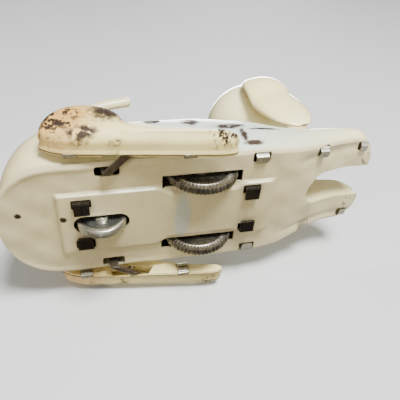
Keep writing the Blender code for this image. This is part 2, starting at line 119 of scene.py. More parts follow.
def soften(obj, width, segments=2, angle=35):
    mod = obj.modifiers.new("soften", "BEVEL")
    mod.width = width * milli
    mod.segments = segments
    mod.limit_method = "ANGLE"
    mod.angle_limit = math.radians(angle)
    mod.harden_normals = False
    return obj


def smoothByAngle(obj, angle=40):
    obj.data.shade_smooth()
    bm = bmesh.new()
    bm.from_mesh(obj.data)
    for e in bm.edges:
        if len(e.link_faces) == 2 and e.calc_face_angle(0) > math.radians(angle):
            e.smooth = False
    bm.to_mesh(obj.data)
    bm.free()
    return obj


def sweep(name, path, radii, n=12, wide=1.0):
    pts = [Vector(p) for p in path]
    rings = []
    for i, p in enumerate(pts):
        d = (pts[min(len(pts) - 1, i + 1)] - pts[max(0, i - 1)]).normalized()
        u = d.cross(Vector((1, 0.01, 0.02))).normalized()
        v = d.cross(u).normalized()
        r = radii[i] if isinstance(radii, (list, tuple)) else radii
        rings.append(
            [p + u * r * math.cos(math.tau * j / n) + v * r * wide * math.sin(math.tau * j / n)
            for j in range(n)]
        )
    return loft(name, rings)


# shader helpers

def add(tree, kind, inputs=None, **props):
    node = tree.nodes.new(kind)
    for key, value in props.items():
        setattr(node, key, value)
    for key, value in (inputs or {}).items():
        if isinstance(value, bpy.types.NodeSocket):
            tree.links.new(value, node.inputs[key])
        else:
            node.inputs[key].default_value = value
    return node


def calc(tree, op, a, b=0.0, clamp=False):
    return add(tree, "ShaderNodeMath", {0: a, 1: b}, operation=op, use_clamp=clamp).outputs[0]


def remap(tree, value, low, high, outLow=0.0, outHigh=1.0):
    node = add(
        tree, "ShaderNodeMapRange", {0: value, 1: low, 2: high, 3: outLow, 4: outHigh},
        interpolation_type="SMOOTHSTEP",
    )
    return node.outputs[0]


def mixColour(tree, factor, a, b):
    node = add(tree, "ShaderNodeMix", {0: factor, 6: a, 7: b}, data_type="RGBA")
    return node.outputs[2]


def noise(tree, vector, scale, detail=3.0, rough=0.55):
    return add(
        tree, "ShaderNodeTexNoise",
        {"Vector": vector, "Scale": scale, "Detail": detail, "Roughness": rough},
    ).outputs[0]


def newGroup(name, ins, outs):
    tree = bpy.data.node_groups.new(name, "ShaderNodeTree")
    for label, kind, value in ins:
        socket = tree.interface.new_socket(label, in_out="INPUT", socket_type="NodeSocket" + kind)
        if value is not None:
            socket.default_value = value
    for label, kind in outs:
        tree.interface.new_socket(label, in_out="OUTPUT", socket_type="NodeSocket" + kind)
    return tree, tree.nodes.new("NodeGroupInput"), tree.nodes.new("NodeGroupOutput")


def useGroup(tree, group, inputs):
    node = tree.nodes.new("ShaderNodeGroup")
    node.node_tree = group
    for key, value in inputs.items():
        if isinstance(value, bpy.types.NodeSocket):
            tree.links.new(value, node.inputs[key])
        else:
            node.inputs[key].default_value = value
    return node


def rgb(r, g, b):
    def lin(c):
        c = c / 255
        return c / 12.92 if c <= 0.04045 else ((c + 0.055) / 1.055) ** 2.4
    return (lin(r), lin(g), lin(b), 1.0)


# flaked paint: blotches of noise broken up by a finer noise
def flakeGroup():
    tree, i, o = newGroup(
        "paintFlakes",
        [
            ("Vector", "Vector", None), ("Scale", "Float", 300.0), ("Coverage", "Float", 0.1),
            ("Edge", "Float", 0.02),
        ],
        [("Mask", "Float")],
    )
    coarse = noise(tree, i.outputs["Vector"], i.outputs["Scale"], 5.0, 0.62)
    fine = noise(tree, i.outputs["Vector"], calc(tree, "MULTIPLY", i.outputs["Scale"], 3.7), 3.0, 0.7)
    both = calc(tree, "ADD", coarse, calc(tree, "MULTIPLY", calc(tree, "SUBTRACT", fine, 0.5), 0.35))
    start = calc(tree, "SUBTRACT", 0.78, calc(tree, "MULTIPLY", i.outputs["Coverage"], 0.5))
    mask = remap(tree, both, start, calc(tree, "ADD", start, i.outputs["Edge"]))
    tree.links.new(mask, o.inputs["Mask"])
    return tree


# rubbed edges: where a rounded normal leaves the true one
def edgeGroup():
    tree, i, o = newGroup(
        "edgeRub",
        [
            ("Vector", "Vector", None), ("Radius", "Float", 0.0005), ("Amount", "Float", 0.5),
            ("Scale", "Float", 500.0),
        ],
        [("Mask", "Float")],
    )
    round1 = add(tree, "ShaderNodeBevel", {"Radius": i.outputs["Radius"]}, samples=4)
    flat = add(tree, "ShaderNodeNewGeometry")
    dot = add(
        tree, "ShaderNodeVectorMath", {0: round1.outputs[0], 1: flat.outputs["Normal"]},
        operation="DOT_PRODUCT",
    )
    bend = calc(tree, "SUBTRACT", 1.0, dot.outputs["Value"])
    broken = noise(tree, i.outputs["Vector"], i.outputs["Scale"], 4.0, 0.7)
    level = calc(tree, "MULTIPLY", bend, calc(tree, "MULTIPLY", broken, i.outputs["Amount"]))
    tree.links.new(remap(tree, level, 0.02, 0.09), o.inputs["Mask"])
    return tree


# a soft area round a centre, with a grainy border like sprayed colour
def areaGroup():
    tree, i, o = newGroup(
        "softArea",
        [
            ("Vector", "Vector", None), ("Centre", "Vector", None), ("Size", "Vector", None),
            ("Feather", "Float", 0.5), ("Grain", "Float", 0.15),
        ],
        [("Mask", "Float")],
    )
    off = add(
        tree, "ShaderNodeVectorMath", {0: i.outputs["Vector"], 1: i.outputs["Centre"]},
        operation="SUBTRACT",
    )
    rel = add(tree, "ShaderNodeVectorMath", {0: off.outputs[0], 1: i.outputs["Size"]}, operation="DIVIDE")
    far = add(tree, "ShaderNodeVectorMath", {0: rel.outputs[0]}, operation="LENGTH").outputs["Value"]
    fine = noise(tree, i.outputs["Vector"], 700.0, 3.0, 0.7)
    rough = calc(tree, "MULTIPLY", calc(tree, "SUBTRACT", fine, 0.5), i.outputs["Grain"])
    start = calc(tree, "SUBTRACT", 1.0, i.outputs["Feather"])
    end = calc(tree, "ADD", 1.0, i.outputs["Feather"])
    mask = remap(tree, calc(tree, "ADD", far, calc(tree, "MULTIPLY", rough, 4.0)), start, end, 1.0, 0.0)
    tree.links.new(mask, o.inputs["Mask"])
    return tree


# painted shade and dirt in corners and folds: ambient occlusion darkening, broken into patches by noise
def creviceShadeGroup():
    tree, i, o = newGroup(
        "creviceShadeAndDirt", [("Vector", "Vector", None), ("Distance", "Float", 0.002), ("Amount", "Float", 0.6)],
        [("Mask", "Float")],
    )
    # painted shade: the occlusion value darkens wherever nearby geometry hides the surface
    shade = add(
        tree, "ShaderNodeAmbientOcclusion", {"Distance": i.outputs["Distance"]}, samples=4,
        only_local=False,
    )
    hidden = calc(tree, "SUBTRACT", 1.0, shade.outputs["AO"])
    patch = noise(tree, i.outputs["Vector"], 260.0, 4.0, 0.65)
    level = calc(
        tree, "MULTIPLY", calc(tree, "MULTIPLY", hidden, patch),
        calc(tree, "MULTIPLY", i.outputs["Amount"], 2.2), clamp=True,
    )
    tree.links.new(level, o.inputs["Mask"])
    return tree


# scratched, handled metal: long grain along one axis plus blotches of tarnish
def metalGroup():
    tree, i, o = newGroup(
        "metalGrain",
        [
            ("Vector", "Vector", None), ("Stretch", "Vector", (40.0, 900.0, 900.0)),
            ("Tarnish", "Float", 0.4),
        ],
        [("Shade", "Float"), ("Height", "Float"), ("Tarnish", "Float")],
    )
    long = add(
        tree, "ShaderNodeVectorMath", {0: i.outputs["Vector"], 1: i.outputs["Stretch"]},
        operation="MULTIPLY",
    ).outputs[0]
    lines = noise(tree, long, 1.0, 4.0, 0.6)
    blot = noise(tree, i.outputs["Vector"], 350.0, 5.0, 0.65)
    spots = remap(
        tree, blot, calc(tree, "SUBTRACT", 0.75, calc(tree, "MULTIPLY", i.outputs["Tarnish"], 0.5)), 0.8,
    )
    tree.links.new(lines, o.inputs["Shade"])
    tree.links.new(calc(tree, "ADD", lines, calc(tree, "MULTIPLY", blot, 0.6)), o.inputs["Height"])
    tree.links.new(spots, o.inputs["Tarnish"])
    return tree


flakes, edges, areas, dirt, grain = flakeGroup(), edgeGroup(), areaGroup(), creviceShadeGroup(), metalGroup()


def startMaterial(name):
    mat = bpy.data.materials.new(name)
    mat.use_nodes = True
    tree = mat.node_tree
    tree.nodes.clear()
    out = tree.nodes.new("ShaderNodeOutputMaterial")
    shader = tree.nodes.new("ShaderNodeBsdfPrincipled")
    tree.links.new(shader.outputs[0], out.inputs[0])
    place = tree.nodes.new("ShaderNodeTexCoord").outputs["Object"]
    return mat, tree, shader, place


def maxOf(tree, values):
    total = values[0]
    for v in values[1:]:
        total = calc(tree, "MAXIMUM", total, v)
    return total


# painted tin: cream coat, sprayed tints, flakes in given areas, rubbed edges, painted shade and dirt in the
# folds
def paintedTin(name, look):
    mat, tree, shader, place = startMaterial(name)
    broad = noise(tree, place, 45.0, 3.0, 0.5)
    colour = mixColour(tree, remap(tree, broad, 0.35, 0.68), look["base"], look["second"])
    for tint in look.get("tints", []):
        mask = useGroup(
            tree, areas,
            {
                "Vector": place, "Centre": tint["at"], "Size": tint["size"],
                "Feather": tint.get("feather", 0.5), "Grain": tint.get("grain", 0.12),
            },
        ).outputs[0]
        colour = mixColour(tree, calc(tree, "MULTIPLY", mask, tint["amount"]), colour, tint["colour"])
    bare = [
        useGroup(
            tree, edges,
            {
                "Vector": place, "Radius": look.get("edgeRadius", 0.0005), "Amount": look["edge"],
                "Scale": 420.0,
            },
        ).outputs[0]
    ]
    bare.append(
        useGroup(
            tree, flakes,
            {"Vector": place, "Scale": 520.0, "Coverage": look.get("speck", 0.06), "Edge": 0.012},
        ).outputs[0]
    )
    for chip in look.get("chips", []):
        zone = useGroup(
            tree, areas,
            {"Vector": place, "Centre": chip["at"], "Size": chip["size"], "Feather": 0.35, "Grain": 0.3},
        ).outputs[0]
        spot = useGroup(
            tree, flakes,
            {
                "Vector": place, "Scale": chip.get("scale", 380.0), "Coverage": chip["coverage"],
                "Edge": 0.015,
            },
        ).outputs[0]
        bare.append(calc(tree, "MULTIPLY", zone, spot))
    bareMask = calc(tree, "MULTIPLY", maxOf(tree, bare), 1.0, clamp=True)
    shadeAndSoil = useGroup(
        tree, dirt,
        {"Vector": place, "Distance": look.get("shadeAndDirtReach", 0.0022), "Amount": look.get("dirt", 0.55)},
    ).outputs[0]
    film = remap(tree, noise(tree, place, 130.0, 5.0, 0.7), 0.42, 0.75)
    colour = mixColour(
        tree, calc(tree, "MULTIPLY", film, look.get("film", 0.16)), colour, rgb(146, 130, 96),
    )
    # painted shade and dirt: dark brown where the surface is occluded
    colour = mixColour(tree, shadeAndSoil, colour, rgb(74, 60, 44))
    rust = mixColour(tree, noise(tree, place, 900.0, 3.0, 0.6), rgb(26, 22, 22), rgb(78, 56, 40))
    colour = mixColour(tree, bareMask, colour, rust)
    tree.links.new(colour, shader.inputs["Base Color"])
    gloss = calc(tree, "ADD", look.get("rough", 0.34), calc(tree, "MULTIPLY", film, 0.16))
    gloss = calc(tree, "ADD", gloss, calc(tree, "MULTIPLY", bareMask, 0.25), clamp=True)
    tree.links.new(gloss, shader.inputs["Roughness"])
    tree.links.new(calc(tree, "MULTIPLY", bareMask, 0.55), shader.inputs["Metallic"])
    tree.links.new(
        calc(tree, "MULTIPLY", calc(tree, "SUBTRACT", 1.0, bareMask), look.get("coat", 0.35)),
        shader.inputs["Coat Weight"],
    )
    shader.inputs["Coat Roughness"].default_value = 0.22
    ripple = noise(tree, place, 85.0, 2.0, 0.5)
    peel = noise(tree, place, 1500.0, 2.0, 0.5)
    height = calc(tree, "ADD", calc(tree, "MULTIPLY", ripple, 1.5), calc(tree, "MULTIPLY", peel, 0.05))
    height = calc(tree, "SUBTRACT", height, calc(tree, "MULTIPLY", bareMask, 0.28))
    bump = add(tree, "ShaderNodeBump", {"Strength": 0.55, "Distance": 0.00022, "Height": height})
    tree.links.new(bump.outputs[0], shader.inputs["Normal"])
    return mat


def metal(name, look):
    mat, tree, shader, place = startMaterial(name)
    g = useGroup(
        tree, grain,
        {
            "Vector": place, "Stretch": look.get("stretch", (60.0, 700.0, 700.0)),
            "Tarnish": look.get("tarnish", 0.4),
        },
    )
    colour = mixColour(tree, remap(tree, g.outputs["Shade"], 0.35, 0.65), look["base"], look["second"])
    colour = mixColour(
        tree, calc(tree, "MULTIPLY", g.outputs["Tarnish"], look.get("spot", 0.7)), colour, look["stain"],
    )
    shadeAndSoil = useGroup(
        tree, dirt, {"Vector": place, "Distance": 0.0012, "Amount": look.get("dirt", 0.5)},
    ).outputs[0]
    # painted shade and dirt: near-black where the metal is occluded
    colour = mixColour(tree, shadeAndSoil, colour, rgb(38, 32, 27))
    rub = useGroup(
        tree, edges, {"Vector": place, "Radius": 0.0003, "Amount": look.get("edge", 0.8), "Scale": 600.0},
    ).outputs[0]
    colour = mixColour(
        tree, calc(tree, "MULTIPLY", rub, 0.6), colour, look.get("bright", rgb(205, 200, 188)),
    )
    tree.links.new(colour, shader.inputs["Base Color"])
    tree.links.new(
        calc(
            tree, "SUBTRACT", look.get("metallic", 0.95),
            calc(tree, "MULTIPLY", g.outputs["Tarnish"], 0.35),
        ),
        shader.inputs["Metallic"],
    )
    tree.links.new(
        remap(tree, g.outputs["Shade"], 0.2, 0.8, look["rough"] - 0.08, look["rough"] + 0.14),
        shader.inputs["Roughness"],
    )
    bump = add(
        tree, "ShaderNodeBump", {"Strength": 0.35, "Distance": 0.0001, "Height": g.outputs["Height"]},
    )
    tree.links.new(bump.outputs[0], shader.inputs["Normal"])
    return mat


# old ivory celluloid: glossy, slightly see-through, darker and yellower in the hollows, partly painted shade
# and partly yellowing
def celluloid(name, look):
    mat, tree, shader, place = startMaterial(name)
    broad = noise(tree, place, 60.0, 3.0, 0.5)
    colour = mixColour(tree, remap(tree, broad, 0.35, 0.7), look["base"], look["second"])
    shadeAndSoil = useGroup(tree, dirt, {"Vector": place, "Distance": 0.005, "Amount": 0.75}).outputs[0]
    # painted shade and yellowing: tan in the occluded hollows
    colour = mixColour(tree, shadeAndSoil, colour, rgb(176, 140, 84))
    for tint in look.get("tints", []):
        mask = useGroup(
            tree, areas,
            {
                "Vector": place, "Centre": tint["at"], "Size": tint["size"],
                "Feather": tint.get("feather", 0.12), "Grain": tint.get("grain", 0.02),
            },
        ).outputs[0]
        colour = mixColour(tree, calc(tree, "MULTIPLY", mask, tint["amount"]), colour, tint["colour"])
    specks = useGroup(
        tree, flakes, {"Vector": place, "Scale": 420.0, "Coverage": 0.05, "Edge": 0.02},
    ).outputs[0]
    colour = mixColour(tree, calc(tree, "MULTIPLY", specks, 0.5), colour, rgb(120, 96, 66))
    tree.links.new(colour, shader.inputs["Base Color"])
    tree.links.new(
        remap(tree, noise(tree, place, 240.0, 4.0, 0.6), 0.3, 0.75, 0.12, 0.27), shader.inputs["Roughness"],
    )
    shader.inputs["Coat Weight"].default_value = 0.5
    shader.inputs["Coat Roughness"].default_value = 0.08
    shader.inputs["IOR"].default_value = 1.5
    shader.inputs["Subsurface Weight"].default_value = 0.12
    shader.inputs["Subsurface Radius"].default_value = (0.004, 0.003, 0.0015)
    scuff = noise(tree, place, 900.0, 3.0, 0.6)
    swell = noise(tree, place, 70.0, 1.0, 0.4)
    bump = add(
        tree, "ShaderNodeBump",
        {
            "Strength": 0.25, "Distance": 0.0002,
            "Height": calc(tree, "ADD", calc(tree, "MULTIPLY", scuff, 0.06), swell),
        },
    )
    tree.links.new(bump.outputs[0], shader.inputs["Normal"])
    return mat


def dress(obj, mat, body=None, replaced=()):
    obj.data.materials.clear()
    obj.data.materials.append(mat)
    if body:
        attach(obj, body)
    if replaced:
        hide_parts(*replaced)
    return obj


cream, creamDim = rgb(234, 224, 174), rgb(224, 212, 164)
tan, ochre, paintedCoolSheen = rgb(204, 166, 100), rgb(196, 142, 62), rgb(196, 208, 208)

shellLook = {
    "base": cream, "second": creamDim, "edge": 0.55, "speck": 0.10, "dirt": 0.5, "film": 0.12, "coat": 0.4,
    "tints": [
        {
            "at": (0, 0.062, 0.026), "size": (0.026, 0.016, 0.02), "colour": tan, "amount": 0.5,
            "feather": 0.6,
        },
        # painted reflection: cool blue-grey sheen of the light on both flanks, stronger on the right flank
        # that faces the key light
        {
            "at": (-0.02, -0.006, 0.022), "size": (0.014, 0.034, 0.016), "colour": paintedCoolSheen, "amount": 0.75,
            "feather": 0.5,
        },
        {
            "at": (0.02, -0.006, 0.022), "size": (0.014, 0.034, 0.016), "colour": paintedCoolSheen, "amount": 0.55,
            "feather": 0.5,
        },
        {
            "at": (0, 0.012, 0.043), "size": (0.012, 0.034, 0.010), "colour": ochre, "amount": 0.6,
            "feather": 0.6,
        },
    ],
    "chips": [
        {"at": (-0.0225, 0.0016, 0.0249), "size": (0.004, 0.003, 0.0028), "coverage": 0.75},
        {
            "at": (-0.0225, -0.0107, 0.0202), "size": (0.004, 0.005, 0.0018), "coverage": 0.72,
            "scale": 560.0,
        },
        {"at": (-0.0215, -0.0140, 0.0150), "size": (0.005, 0.0012, 0.0036), "coverage": 0.95},
        {"at": (-0.0215, -0.0165, 0.0112), "size": (0.005, 0.0034, 0.0011), "coverage": 0.92},
        {
            "at": (-0.0215, -0.0215, 0.0176), "size": (0.005, 0.0055, 0.0007), "coverage": 0.86,
            "scale": 620.0,
        },
        {"at": (-0.020, 0.002, 0.034), "size": (0.008, 0.020, 0.004), "coverage": 0.48},
        {"at": (0.0, -0.063, 0.017), "size": (0.030, 0.0022, 0.004), "coverage": 0.4},
        {"at": (0.022, 0.010, 0.024), "size": (0.004, 0.014, 0.008), "coverage": 0.22},
    ],
}
plateLook = {
    "base": rgb(
        224, 211, 168,
    ), "second": rgb(213, 200, 158), "edge": 0.32, "speck": 0.05, "dirt": 0.7, "film": 0.22, "coat": 0.4, "shadeAndDirtReach": 0.003,
    "tints": [
        {
            "at": (0.001, 0.0069, 0.0062), "size": (0.0095, 0.0026, 0.004), "colour": rgb(196, 204, 196),
            "amount": 0.85, "feather": 0.3,
        }
    ],
    "chips": [
        {"at": (-0.0028, 0.0446, 0.0058), "size": (0.001, 0.001, 0.002), "coverage": 1.1},
        {"at": (-0.005, 0.0576, 0.007), "size": (0.001, 0.001, 0.002), "coverage": 1.1},
        {"at": (0.001, -0.0482, 0.0135), "size": (0.0035, 0.0018, 0.003), "coverage": 0.7},
        {"at": (0.012, -0.062, 0.016), "size": (0.004, 0.004, 0.004), "coverage": 0.36},
        {"at": (-0.012, -0.063, 0.016), "size": (0.004, 0.0022, 0.004), "coverage": 0.5},
    ],
}


def legLook(side):
    return {
        "base": rgb(
            242, 222, 150,
        ), "second": rgb(232, 212, 148), "edge": 0.62, "speck": 0.09, "dirt": 0.5, "film": 0.16, "coat": 0.45,
        "tints": [
            {
                "at": (side * 0.033, 0.0420, 0.0170), "size": (0.012, 0.010, 0.010),
                "colour": rgb(204, 142, 58), "amount": 0.8, "feather": 0.6, "grain": 0.35,
            },
            {
                "at": (side * 0.033, 0.008, 0.006), "size": (0.010, 0.016, 0.008), "colour": cream,
                "amount": 0.5, "feather": 0.6,
            },
        ],
        "chips": [
            {
                "at": (side * 0.0325, 0.0425, 0.0150), "size": (0.006, 0.0062, 0.0062),
                "coverage": 0.58 if side < 0 else 0.4,
            },
            {"at": (side * 0.0325, 0.0359, 0.0085), "size": (0.006, 0.004, 0.002), "coverage": 0.68},
            {
                "at": (side * 0.0300, 0.0285, 0.0180), "size": (0.006, 0.0056, 0.0062),
                "coverage": 0.95 if side < 0 else 0.45,
            },
            {
                "at": (side * 0.0300, 0.0215, 0.0138), "size": (0.006, 0.0052, 0.0040),
                "coverage": 0.95 if side < 0 else 0.4,
            },
            {
                "at": (side * 0.0330, 0.0285, 0.0045), "size": (0.006, 0.0035, 0.0012), "coverage": 0.8,
                "scale": 620.0,
            },
            {
                "at": (side * 0.0330, -0.004, 0.0035), "size": (0.006, 0.0045, 0.0030), "coverage": 0.55,
                "scale": 620.0,
            },
        ],
    }


paintBody = paintedTin("creamBody", shellLook)
paintPlate = paintedTin("creamBelly", plateLook)
paintLegRight = paintedTin("creamLegRight", legLook(-1))
paintLegLeft = paintedTin("creamLegLeft", legLook(1))
brightTin = metal(
    "brightTin",
    {
        "base": rgb(196, 192, 178), "second": rgb(168, 164, 150), "stain": rgb(120, 98, 70), "rough": 0.34,
        "tarnish": 0.35,
    },
)
wheelSteel = metal(
    "wheelSteel",
    {
        "base": rgb(168, 162, 148), "second": rgb(112, 106, 96), "stain": rgb(86, 66, 48), "rough": 0.32,
        "tarnish": 0.55,
    },
)
hubSteel = metal(
    "hubSteel",
    {
        "base": rgb(214, 212, 202), "second": rgb(180, 178, 168), "stain": rgb(110, 92, 72), "rough": 0.22,
        "tarnish": 0.3,
    },
)
darkSteel = metal(
    "darkSteel",
    {
        "base": rgb(66, 60, 56), "second": rgb(46, 42, 42), "stain": rgb(96, 62, 40), "rough": 0.42,
        "tarnish": 0.5, "bright": rgb(128, 120, 110),
    },
)
armSteel = metal(
    "armSteel",
    {
        "base": rgb(112, 100, 84), "second": rgb(82, 74, 64), "stain": rgb(98, 66, 42), "rough": 0.4,
        "tarnish": 0.5,
    },
)
brass = metal(
    "gearBrass",
    {
        "base": rgb(206, 168, 92), "second": rgb(176, 138, 70), "stain": rgb(104, 76, 42), "rough": 0.3,
        "tarnish": 0.45, "bright": rgb(236, 206, 140),
    },
)
print("materials made")


# body form

def planHalf(y):
    w = 22.0
    if y > 45:
        w *= math.sqrt(max(0.0, 1 - min(1.0, (y - 45) / 19.2) ** 2.4))
    if y < -16:
        w -= 3.9 * smooth(-16, -56, y)
    if y < -57:
        w -= 8.6 * (1 - math.sqrt(max(0.0, 1 - min(1.0, (-57 - y) / 7.5) ** 2.2)))
    return w


def bellyZ(y):
    return 8.0 + 8.2 * smooth(-24, -57, y)


def backHeight(y):
    h = 33.5 - 3.0 * smooth(0, -12, y) - 15.5 * smooth(-8, -46, y) - 5.0 * smooth(-42, -58, y)
    if y > 30:
        h *= math.sqrt(max(0.0, 1 - min(1.0, (y - 30) / 35.4) ** 2.6))
    if y < -57:
        h *= math.sqrt(max(0.0, 1 - min(1.0, (-57 - y) / 8.0) ** 2.4))
    return h


def bodyRing(y, inset, drop, n=26):
    w0 = max(0.4, planHalf(y) - inset)
    w1 = max(0.5, w0 + 0.1 * planHalf(y))
    h = max(0.8, backHeight(y) - inset)
    mid = h * 0.33
    z0 = bellyZ(y)
    left = [(w0 + (w1 - w0) * math.sin(math.pi / 2 * i / 9), z0 + mid * i / 9) for i in range(9)]
    for i in range(n + 1):
        a = math.pi / 2 * i / n
        left.append((w1 * max(0.0, math.cos(a)) ** 0.88, z0 + mid + (h - mid) * math.sin(a) ** 0.9))
    ring = left + [(-x, z) for x, z in reversed(left[:-1])]
    if drop > 0:
        ring = [(w0, z0 - drop)] + ring + [(-w0, z0 - drop)]
    return [(x, y, z) for x, z in ring]


def stations(rear, front, count):
    ys = []
    rear, front = rear - 0.1, front + 0.1
    for i in range(count + 1):
        c = math.cos(math.pi * i / count)
        c = math.copysign(abs(c) ** 0.72, c)
        ys.append((rear + front) / 2 + (rear - front) / 2 * c)
    return ys


def notchOutline(grow, n=28):
    r = 7.3 - grow
    arc = [(-r * math.cos(math.pi * i / n), -46.4 + r * math.sin(math.pi * i / n)) for i in range(n + 1)]
    return [(-r, -75)] + arc + [(r, -75)]


def bodySolid(inset, drop, grow, count):
    solid = loft("solid", [bodyRing(y, inset, drop) for y in stations(64.2 - inset, -64.5 + inset, count)])
    return cut(solid, prismZ(notchOutline(grow), -5, 60))


shell = {
    "tin": 0.7, "keyHole": (14.0, 28.5, 2.9), "studHole": (36.5, 13.8, 1.5), "neckHole": (0, -30, 3.5),
    "tailHole": (0, 47, 1.9),
}
back = bodySolid(0.0, 0.0, 0.0, 72)
cut(back, bodySolid(shell["tin"], 3.0, -shell["tin"], 40))
ky, kz, kr = shell["keyHole"]
cut(back, prismX(circle(ky, kz, kr), -40, -15))
for side in (1, -1):
    cut(back, prismX(circle(*shell["studHole"], 24), min(side * 15, side * 40), max(side * 15, side * 40)))
cut(back, prismZ(circle(*shell["neckHole"]), 24, 50), prismZ(circle(*shell["tailHole"]), 22, 50))
back.name = "backShell"
smoothByAngle(back, 48)
dress(back, paintBody, "chassis", ["back_shell"])
print("back shell made")


def rimPath(side, step=1.0):
    pts = []
    y = 63.4
    while y > -63.6:
        pts.append((side * (planHalf(y) - 0.05), y, bellyZ(y) + 0.25))
        y -= step if 45 > y > -56 else step * 0.35
    return pts


# rolled bead where the shell folds over the plate
rim = {"radius": 0.52}
for side, tag in ((1, "Left"), (-1, "Right")):
    bead = sweep("shellBead" + tag, rimPath(side), rim["radius"], 12)
    dress(bead, paintBody, "chassis")

# belly plate: pressed sheet with a stepped panel, slots cut through
belly = {"gap": 0.15, "thick": 0.8, "step": 1.25, "slope": 0.75}
panelEdge = [(12.3, 46.2), (12.3, 14.6), (9.6, 9.8), (9.6, -10.4), (11.4, -13.2), (11.4, -24.0)]


def panelHalf(y):
    for (xa, ya), (xb, yb) in zip(panelEdge, panelEdge[1:]):
        if ya >= y >= yb:
            return xa + (xb - xa) * (ya - y) / max(1e-6, ya - yb)
    return 0.0


def pressed(x, y):
    inside = min(panelHalf(y) - abs(x), 46.2 - y, y + 24.0) if -24 <= y <= 46.2 else -9
    rise = belly["step"] * smooth(-0.15, belly["slope"], inside)
    # a shallow groove across the panel ahead of the wheels, and one along the forepaw roots
    rise -= 0.22 * math.exp(-((y + 12.4) / 0.9) ** 2) * smooth(0.5, 2.5, inside)
    rise += 0.35 * math.exp(-((y + 40.5) / 2.6) ** 2) * math.exp(-(x / 10.0) ** 4)
    rise -= 0.45 * math.exp(-((abs(x) - 15.5) / 1.8) ** 2) * smooth(-28, -38, y)
    rise += 0.30 * math.exp(
        -((planHalf(y) - 1.2 - abs(x)) / 0.9) ** 2
    ) * smooth(62, 52, y) * (1 if y > 16 else 0)
    rise += 0.12 * math.sin(x * 0.55 + y * 0.2) * math.sin(y * 0.31 + 1.3) * (1 - smooth(-1, 1, inside))
    return rise


columns = 104
rings = []
for y in stations(64.3, -64.6, 210):
    half = max(0.5, planHalf(min(64.1, max(-64.4, y))) + 0.4)
    under, over = [], []
    for i in range(columns + 1):
        x = half * (2 * i / columns - 1)
        curl = 0.5 * smooth(0.9, 0.0, half - abs(x))
        z = bellyZ(y) - belly["gap"] - belly["thick"] - pressed(x, y) + curl
        under.append((x, y, z))
        over.append((x, y, z + 0.62))
    rings.append(under + over[::-1])
plate = loft("bellyPlate", rings)
cut(plate, prismZ(notchOutline(0.35), -5, 60))
for side in (1, -1):
    slot = [(11.3, -12.6), (11.3, 13.6), (15.7, 13.6), (15.7, -12.6)]
    cut(plate, prismZ([(side * x, y) for x, y in slot], 0, 12))
    cut(plate, prismZ(rounded(side * 19.3, 30.2, 3.6, 7.4, 0.8), 0, 12))
    for y, w in ((-18.3, 5.0), (-42.5, 3.8), (-60.0, 3.0)):
        edge = planHalf(y)
        cut(plate, prismZ(rounded(side * (edge - 2.0), y, 3.6, w + 0.8, 0.3, 3), 0, 22))
    for y in (38.7, -16.2):
        cut(plate, prismZ(rounded(side * 8.4, y, 3.4, 6.0, 0.25, 3), 0, 12))
cut(plate, prismZ(rounded(0, 33, 6.6, 17.4, 3.2, 10), 0, 12))
smoothByAngle(plate, 50)
dress(plate, paintPlate, "chassis", ["belly_plate"])
print("belly plate made")


# bent tabs that hold the plates together
def bentTab(name, corner, out, along, width, reach, thick, droop):
    corner, out, along = Vector(corner), Vector(out), Vector(along)
    down = Vector((0, 0, -1))
    rings = []
    for k in range(12):
        t = k / 11
        bend = smooth(0.0, 0.42, t)
        place = corner + out * reach * max(0.0, t - 0.12) + down * (
            thick * 0.9 * math.sin(min(1.0, t * 3) * math.pi / 2) - droop * t
        )
        place += Vector((0, 0, 1)) * (1 - bend) * 1.2
        w = width * (1 - 0.16 * smooth(0.8, 1.0, t))
        lift = Vector((0, 0, 1)) * thick * 0.5 * bend + out * -thick * 0.5 * (1 - bend)
        half = along * w / 2
        rings.append([place - half + lift, place + half + lift, place + half - lift, place - half - lift])
    tab = loft(name, rings)
    tab.data.shade_flat()
    return soften(tab, 0.16, 2, 30)


shellTabs = [(-18.3, 4.2), (-42.5, 3.2), (-60.0, 2.4)]
for side, tag in ((1, "Left"), (-1, "Right")):
    for k, (y, w) in enumerate(shellTabs):
        z = bellyZ(y + w / 2) - 0.15 - 0.8 - 0.25
        tab = bentTab(
            "shellTab%s%d" % (tag, k), (side * (planHalf(y) - 0.5), y, z), (-side, 0, 0), (0, 1, 0), w, 3.6,
            0.5, 0.1,
        )
        dress(tab, brightTin, "chassis")
    for k, y in enumerate((38.7, -16.2)):
        tab = bentTab(
            "frameTab%s%d" % (tag, k), (side * 9.5, y, 5.35), (-side, 0, 0), (0, 1, 0), 4.8, 4.2, 0.7, 0.05,
        )
        dress(tab, darkSteel, "chassis")
print("tabs made")


# hind legs: pressed shell with a bead round the seam, toes at the front

def legTop(y):
    ramp = 2.0 * math.log(1 + math.exp((y - 1.0) / 2.0))
    foot = 5.4 + 0.34 * min(ramp, 24)
    reach = (y - 36.5) / 12.0
    haunch = 13.8 + 12.0 * math.sqrt(max(0.0, 1 - reach * reach)) if abs(reach) < 1 else 0
    return 2.0 * math.log(math.exp(foot / 2.0) + math.exp(haunch / 2.0))


def legBottom(y):
    return 7.2 - 0.13 * (44 - y)


def legOutline(inset, share=1.0, n=72):
    rear, toe = 48.5 - inset, -8.5 + inset
    upper, lower = [], []
    for i in range(n + 1):
        c = math.cos(math.pi * i / n)
        y = (rear + toe) / 2 + (rear - toe) / 2 * c
        end = (1 - abs(c) ** 9) ** 0.5
        top, bottom = legTop(y), legBottom(y)
        centre = (top + bottom) / 2
        half = max(0.2, (top - bottom) / 2 - min(inset, 1.5)) * share
        upper.append((y, centre + half * end))
        lower.append((y, centre - half * end))
    return upper[:-1] + list(reversed(lower))[:-1]


